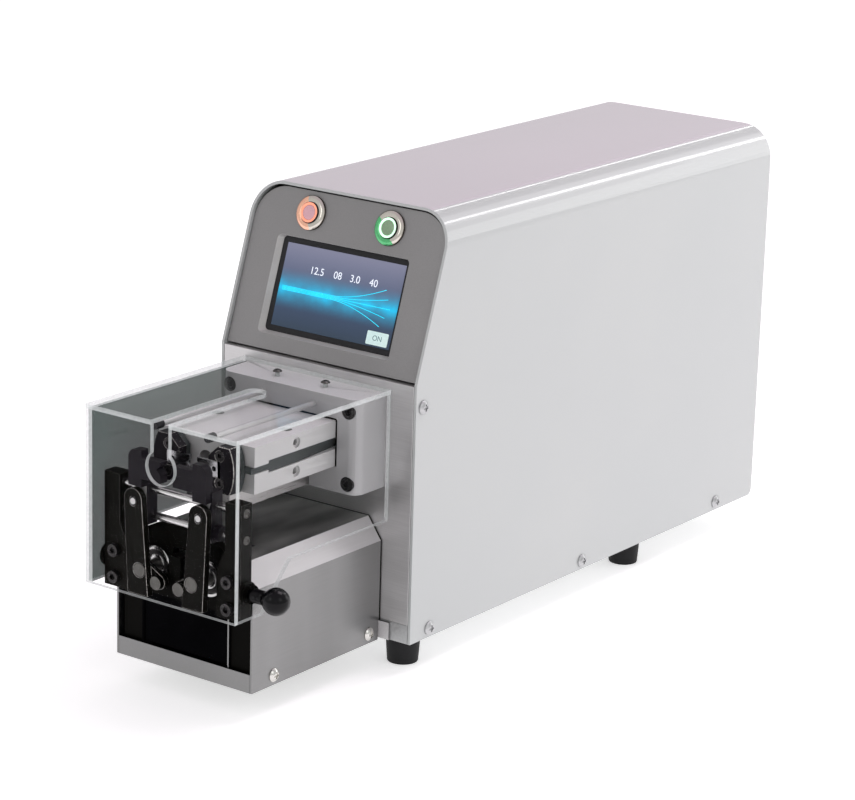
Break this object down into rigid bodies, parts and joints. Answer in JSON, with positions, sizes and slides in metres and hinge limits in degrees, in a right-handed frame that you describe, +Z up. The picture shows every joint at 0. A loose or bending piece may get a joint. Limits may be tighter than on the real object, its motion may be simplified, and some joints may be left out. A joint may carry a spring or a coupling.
{
  "type": "wire stripping machine",
  "caption": "Bench wire stripping machine: housing with leaning touch screen, sliding head with two blades, clamp jaws under a clear guard and a scrap tray.",
  "frame": {"origin": "floor point under the middle of the machine's bounding box", "axes": "+X to the operator's right, +Y from the clamp towards the rear, +Z up"},
  "size_m": [0.1759, 0.594, 0.308],
  "materials": {
    "powder_white": "satin powder coat",
    "panel_grey": "satin grey enamel",
    "rear_grey": "satin grey enamel",
    "brushed_plate": "brushed stainless steel",
    "machined_aluminium": "clear anodised",
    "plain_aluminium": "milled",
    "beam_steel": "ground",
    "bright_screw": "nickel plated",
    "dark_screw": "black oxide",
    "black_oxide": "black oxide",
    "ground_steel": "ground and polished",
    "blade_steel": "polished",
    "rubber": "moulded",
    "black_plastic": "fine texture",
    "knob_plastic": "glossy",
    "screen_glass": "glossy lit screen",
    "clear_acrylic": "clear acrylic",
    "cap_red": "lit ring",
    "cap_green": "lit ring",
    "motor_black": "black paint",
    "supply_metal": "perforated sheet",
    "board_green": "solder mask",
    "rocker_red": "glossy"
  },
  "bodies": {
    "machine": {"base_plate": "plain_aluminium", "housing_cover": "powder_white", "front_plate": "brushed_plate", "rear_panel": "rear_grey", "cover_screws": "bright_screw", "rubber_feet": "rubber", "display_panel": "panel_grey", "display_module": "black_plastic", "touch_glass": "screen_glass", "button_bodies": "bright_screw", "guard": "clear_acrylic", "guard_screws": "bright_screw", "flange_block": "machined_aluminium", "flange_screws": "dark_screw", "top_rods": "ground_steel", "rod_caps": "black_plastic", "guide_beam": "beam_steel", "feed_motor": "motor_black", "feed_bed": "plain_aluminium", "clamp_plate": "black_oxide", "clamp_posts": "black_oxide", "post_hubs": "black_oxide", "clamp_screws": "dark_screw", "cross_rods": "ground_steel", "pivot_shafts": "ground_steel", "pivot_bearings": "ground_steel", "clamp_actuator": "plain_aluminium", "base_chassis": "brushed_plate", "base_cover": "brushed_plate", "base_screws": "bright_screw", "power_supply": "supply_metal", "control_board": "board_green", "fan_frame": "black_plastic", "inlet_socket": "black_plastic"},
    "quill": {"quill_body": "machined_aluminium", "arm_pins": "ground_steel", "feed_carriage": "plain_aluminium", "closing_motor": "motor_black"},
    "arm_left": {"blade_arm_left": "black_oxide", "blade_holder_left": "black_oxide", "blade_left": "blade_steel", "holder_screws_left": "dark_screw"},
    "arm_right": {"blade_arm_right": "black_oxide", "blade_holder_right": "black_oxide", "blade_right": "blade_steel", "holder_screws_right": "dark_screw"},
    "cone": {"closing_cone": "ground_steel"},
    "feed_screw": {"lead_screw": "ground_steel"},
    "jaw_l": {"jaw_left": "black_oxide"},
    "jaw_r": {"jaw_right": "black_oxide"},
    "lever_l": {"lever_left": "black_oxide"},
    "lever_r": {"lever_right": "black_oxide"},
    "clamp_head": {"crosshead": "black_oxide"},
    "knob": {"knob_screw": "ground_steel", "ball_knob": "knob_plastic"},
    "tray": {"scrap_tray": "motor_black"},
    "stop_button": {"stop_cap": "cap_red"},
    "start_button": {"start_cap": "cap_green"},
    "rocker": {"power_rocker": "rocker_red"},
    "rotor": {"fan_rotor": "black_plastic"}
  },
  "joints": [
    {"name": "head_feed", "type": "slide", "parent": "machine", "child": "quill", "axis": [0, 1, 0], "range_m": [0, 0.04]},
    {"name": "feed_screw_turn", "type": "hinge", "parent": "machine", "child": "feed_screw", "pos_m": [-0.0025, -0.04, 0.135], "axis": [0, 1, 0], "range_deg": [0, 2880.01]},
    {"name": "cone_push", "type": "slide", "parent": "quill", "child": "cone", "axis": [0, -1, 0], "range_m": [0, 0.006]},
    {"name": "arm_right_close", "type": "hinge", "parent": "quill", "child": "arm_right", "pos_m": [0.0259, -0.207, 0.159], "axis": [0, 0, -1], "range_deg": [0, 2.7]},
    {"name": "arm_left_close", "type": "hinge", "parent": "quill", "child": "arm_left", "pos_m": [-0.0309, -0.207, 0.159], "axis": [0, 0, 1], "range_deg": [0, 2.7]},
    {"name": "jaw_right_close", "type": "slide", "parent": "machine", "child": "jaw_r", "axis": [-1, 0, 0], "range_m": [0, 0.005]},
    {"name": "jaw_left_close", "type": "slide", "parent": "machine", "child": "jaw_l", "axis": [1, 0, 0], "range_m": [0, 0.005]},
    {"name": "lever_right_swing", "type": "hinge", "parent": "machine", "child": "lever_r", "pos_m": [0.01925, -0.28, 0.0895], "axis": [0, -1, 0], "range_deg": [0, 6.33]},
    {"name": "lever_left_swing", "type": "hinge", "parent": "machine", "child": "lever_l", "pos_m": [-0.02425, -0.28, 0.0895], "axis": [0, 1, 0], "range_deg": [0, 6.33]},
    {"name": "crosshead_pull", "type": "slide", "parent": "machine", "child": "clamp_head", "axis": [0, 0, -1], "range_m": [0, 0.00186]},
    {"name": "knob_turn", "type": "hinge", "parent": "machine", "child": "knob", "pos_m": [0.0575, -0.2797, 0.0895], "axis": [1, 0, 0], "range_deg": [-360, 360]},
    {"name": "tray_slide", "type": "slide", "parent": "machine", "child": "tray", "axis": [0, -1, 0], "range_m": [0, 0.1]},
    {"name": "stop_press", "type": "slide", "parent": "machine", "child": "stop_button", "axis": [0, 0.9494, -0.3141], "range_m": [0, 0.002], "stiffness_N_per_m": 800, "springref_m": -0.002},
    {"name": "start_press", "type": "slide", "parent": "machine", "child": "start_button", "axis": [0, 0.9494, -0.3141], "range_m": [0, 0.002], "stiffness_N_per_m": 800, "springref_m": -0.002},
    {"name": "rocker_tip", "type": "hinge", "parent": "machine", "child": "rocker", "pos_m": [0.0055, 0.2905, 0.081], "axis": [-1, 0, 0], "range_deg": [0, 20]},
    {"name": "fan_turn", "type": "hinge", "parent": "machine", "child": "rotor", "pos_m": [0.0315, 0.284, 0.221], "axis": [0, 1, 0], "continuous": true}
  ],
  "couplings": [
    {"joint": "feed_screw_turn", "follows": "head_feed", "rad_per_m": 1256.6},
    {"joint": "arm_right_close", "follows": "cone_push", "rad_per_m": 7.854},
    {"joint": "arm_left_close", "follows": "cone_push", "rad_per_m": 7.854},
    {"joint": "jaw_left_close", "follows": "jaw_right_close", "ratio": 1},
    {"joint": "lever_right_swing", "follows": "jaw_right_close", "rad_per_m": 22.063},
    {"joint": "lever_left_swing", "follows": "jaw_right_close", "rad_per_m": 22.063},
    {"joint": "crosshead_pull", "follows": "jaw_right_close", "ratio": 0.37024}
  ]
}
